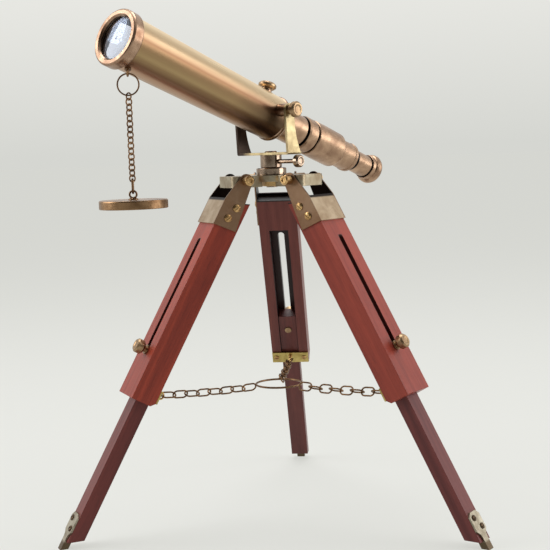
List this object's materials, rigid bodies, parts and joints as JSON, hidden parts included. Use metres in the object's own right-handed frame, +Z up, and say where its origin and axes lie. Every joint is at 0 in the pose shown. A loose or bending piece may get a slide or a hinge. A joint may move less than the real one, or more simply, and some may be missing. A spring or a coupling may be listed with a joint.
{
  "type": "tripod telescope",
  "caption": "Antique brass draw-tube telescope in a swivel yoke on a folding wooden tripod with extending legs, spreader chain and a chained lens cap.",
  "frame": {"origin": "on the desk, under the tripod's vertical axis", "axes": "+Z up, +Y along the rear leg, +X to the right when the rear leg points away"},
  "size_m": [0.3042, 0.31, 0.3694],
  "materials": {
    "upper_wood": "satin varnished mahogany",
    "lower_wood": "satin varnished dark mahogany",
    "optical_glass": "polished coated glass",
    "satin_brass": "satin antique brass",
    "copper_brass": "antique brass with a coppery tone",
    "dark_bronze": "dark antique brass wire",
    "pale_brass": "pale antique brass sheet",
    "olive_brass": "pale olive antique brass strip",
    "blackened_brass": "matt black lacquer",
    "bright_brass": "bright brass",
    "polished_brass": "polished antique brass"
  },
  "bodies": {
    "head": {"head_plate": "polished_brass", "pivot_post": "polished_brass", "post_nut": "bright_brass", "hinge_bolts": "bright_brass"},
    "yoke": {"yoke": "olive_brass", "clamp_socket": "polished_brass"},
    "clamp_screw": {"clamp_screw": "bright_brass"},
    "telescope": {"main_tube": "satin_brass", "rear_collar": "satin_brass", "bezel_ring": "satin_brass", "objective_lens": "optical_glass", "lens_retainer": "blackened_brass", "tube_bosses": "satin_brass", "chain_stud": "dark_bronze"},
    "near_pivot_screw": {"near_pivot_screw": "bright_brass"},
    "far_pivot_screw": {"far_pivot_screw": "bright_brass"},
    "top_thumbscrew": {"top_thumbscrew": "bright_brass"},
    "draw_1": {"draw_tube_1": "copper_brass", "draw_collar_1": "copper_brass", "erector_cell": "blackened_brass", "erector_lenses": "optical_glass"},
    "draw_2": {"eyepiece_barrel": "copper_brass"},
    "draw_3": {"draw_tube_3": "copper_brass", "eye_cup": "copper_brass", "eyepiece_lenses": "optical_glass"},
    "cap_ring": {"split_ring": "dark_bronze"},
    "cap_chain": {"cap_chain": "dark_bronze"},
    "lens_cap": {"lens_cap": "satin_brass", "cap_eye": "dark_bronze"},
    "leg_left": {"leg_strap_left": "pale_brass", "strap_screws_left": "bright_brass", "upper_leg_left": "upper_wood", "guide_strap_left": "pale_brass", "guide_screws_left": "bright_brass"},
    "lower_leg_left": {"lower_leg_left": "lower_wood", "foot_plate_left": "pale_brass", "foot_screws_left": "bright_brass"},
    "leg_thumbscrew_left": {"leg_thumbscrew_left": "bright_brass"},
    "chain_left": {"spreader_chain_left": "dark_bronze"},
    "leg_right": {"leg_strap_right": "pale_brass", "strap_screws_right": "bright_brass", "upper_leg_right": "upper_wood", "guide_strap_right": "pale_brass", "guide_screws_right": "bright_brass"},
    "lower_leg_right": {"lower_leg_right": "lower_wood", "foot_plate_right": "pale_brass", "foot_screws_right": "bright_brass"},
    "leg_thumbscrew_right": {"leg_thumbscrew_right": "bright_brass"},
    "chain_right": {"spreader_chain_right": "dark_bronze"},
    "leg_rear": {"leg_strap_rear": "pale_brass", "strap_screws_rear": "bright_brass", "upper_leg_rear": "upper_wood", "guide_strap_rear": "pale_brass", "guide_screws_rear": "bright_brass"},
    "lower_leg_rear": {"lower_leg_rear": "lower_wood", "foot_plate_rear": "pale_brass", "foot_screws_rear": "bright_brass"},
    "leg_thumbscrew_rear": {"leg_thumbscrew_rear": "bright_brass"},
    "chain_rear": {"spreader_chain_rear": "dark_bronze", "spreader_ring": "dark_bronze"}
  },
  "joints": [
    {"name": "yoke_swivel", "type": "hinge", "parent": "head", "child": "yoke", "pos_m": [0, 0, 0.265], "axis": [0, 0, 1], "continuous": true},
    {"name": "tube_tilt", "type": "hinge", "parent": "yoke", "child": "telescope", "pos_m": [-0.00353, -0.00462, 0.30298], "axis": [-0.7944, 0.6074, 0], "range_deg": [-35, 10]},
    {"name": "clamp_screw_turn", "type": "hinge", "parent": "yoke", "child": "clamp_screw", "pos_m": [0.01192, -0.00911, 0.266], "axis": [0.7944, -0.6074, 0], "range_deg": [0, 720]},
    {"name": "near_pivot_screw_turn", "type": "hinge", "parent": "telescope", "child": "near_pivot_screw", "pos_m": [0.01871, -0.02162, 0.30298], "axis": [0.7944, -0.6074, 0], "range_deg": [0, 720]},
    {"name": "far_pivot_screw_turn", "type": "hinge", "parent": "telescope", "child": "far_pivot_screw", "pos_m": [-0.02577, 0.01239, 0.30298], "axis": [-0.7944, 0.6074, 0], "range_deg": [0, 720]},
    {"name": "top_thumbscrew_turn", "type": "hinge", "parent": "telescope", "child": "top_thumbscrew", "pos_m": [-0.00091, -0.0012, 0.32057], "axis": [0.2087, 0.273, 0.9391], "range_deg": [0, 720]},
    {"name": "draw_1_slide", "type": "slide", "parent": "telescope", "child": "draw_1", "axis": [0.5704, 0.746, -0.3437], "range_m": [-0.026, 0.03]},
    {"name": "draw_2_slide", "type": "slide", "parent": "draw_1", "child": "draw_2", "axis": [0.5704, 0.746, -0.3437], "range_m": [-0.0008, 0.03]},
    {"name": "draw_3_slide", "type": "slide", "parent": "draw_2", "child": "draw_3", "axis": [0.5704, 0.746, -0.3437], "range_m": [-0.02, 0.014]},
    {"name": "cap_ring_hang", "type": "hinge", "parent": "telescope", "child": "cap_ring", "pos_m": [-0.07973, -0.11319, 0.32783], "axis": [-0.7944, 0.6074, 0], "range_deg": [-11, 36]},
    {"name": "cap_chain_swing", "type": "hinge", "parent": "cap_ring", "child": "cap_chain", "pos_m": [-0.07972, -0.11351, 0.31315], "axis": [-0.9912, -0.1323, 0], "range_deg": [-12, 12]},
    {"name": "lens_cap_swing", "type": "hinge", "parent": "cap_chain", "child": "lens_cap", "pos_m": [-0.07972, -0.11351, 0.2496], "axis": [0.1323, -0.9912, 0], "range_deg": [-20, 20]},
    {"name": "leg_swing_left", "type": "hinge", "parent": "head", "child": "leg_left", "pos_m": [-0.02338, -0.0135, 0.253], "axis": [0.5, -0.866, 0], "range_deg": [0, 27]},
    {"name": "leg_extend_left", "type": "slide", "parent": "leg_left", "child": "lower_leg_left", "axis": [-0.4278, -0.247, -0.8695], "range_m": [-0.082, 0]},
    {"name": "leg_thumbscrew_turn_left", "type": "hinge", "parent": "lower_leg_left", "child": "leg_thumbscrew_left", "pos_m": [-0.09368, -0.05409, 0.13845], "axis": [-0.753, -0.4347, 0.4939], "range_deg": [0, 720]},
    {"name": "chain_hang_left", "type": "hinge", "parent": "leg_left", "child": "chain_left", "pos_m": [-0.0813, -0.04694, 0.10065], "axis": [0.5, -0.866, 0], "range_deg": [-106, 0]},
    {"name": "leg_swing_right", "type": "hinge", "parent": "head", "child": "leg_right", "pos_m": [0.02338, -0.0135, 0.253], "axis": [0.5, 0.866, 0], "range_deg": [0, 27]},
    {"name": "leg_extend_right", "type": "slide", "parent": "leg_right", "child": "lower_leg_right", "axis": [0.4278, -0.247, -0.8695], "range_m": [-0.082, 0]},
    {"name": "leg_thumbscrew_turn_right", "type": "hinge", "parent": "lower_leg_right", "child": "leg_thumbscrew_right", "pos_m": [0.09368, -0.05409, 0.13845], "axis": [0.753, -0.4347, 0.4939], "range_deg": [0, 720]},
    {"name": "chain_hang_right", "type": "hinge", "parent": "leg_right", "child": "chain_right", "pos_m": [0.0813, -0.04694, 0.10065], "axis": [0.5, 0.866, 0], "range_deg": [-106, 0]},
    {"name": "leg_swing_rear", "type": "hinge", "parent": "head", "child": "leg_rear", "pos_m": [0, 0.027, 0.253], "axis": [-1, 0, 0], "range_deg": [0, 27]},
    {"name": "leg_extend_rear", "type": "slide", "parent": "leg_rear", "child": "lower_leg_rear", "axis": [0, 0.4939, -0.8695], "range_m": [-0.082, 0]},
    {"name": "leg_thumbscrew_turn_rear", "type": "hinge", "parent": "lower_leg_rear", "child": "leg_thumbscrew_rear", "pos_m": [0, 0.10818, 0.13845], "axis": [0, 0.8695, 0.4939], "range_deg": [0, 720]},
    {"name": "chain_hang_rear", "type": "hinge", "parent": "leg_rear", "child": "chain_rear", "pos_m": [0, 0.09388, 0.10065], "axis": [-1, 0, 0], "range_deg": [-106, 0]}
  ],
  "couplings": [
    {"joint": "cap_ring_hang", "follows": "tube_tilt", "ratio": -1},
    {"joint": "chain_hang_left", "follows": "leg_swing_left", "ratio": -3.9},
    {"joint": "chain_hang_right", "follows": "leg_swing_right", "ratio": -3.9},
    {"joint": "chain_hang_rear", "follows": "leg_swing_rear", "ratio": -3.9}
  ]
}
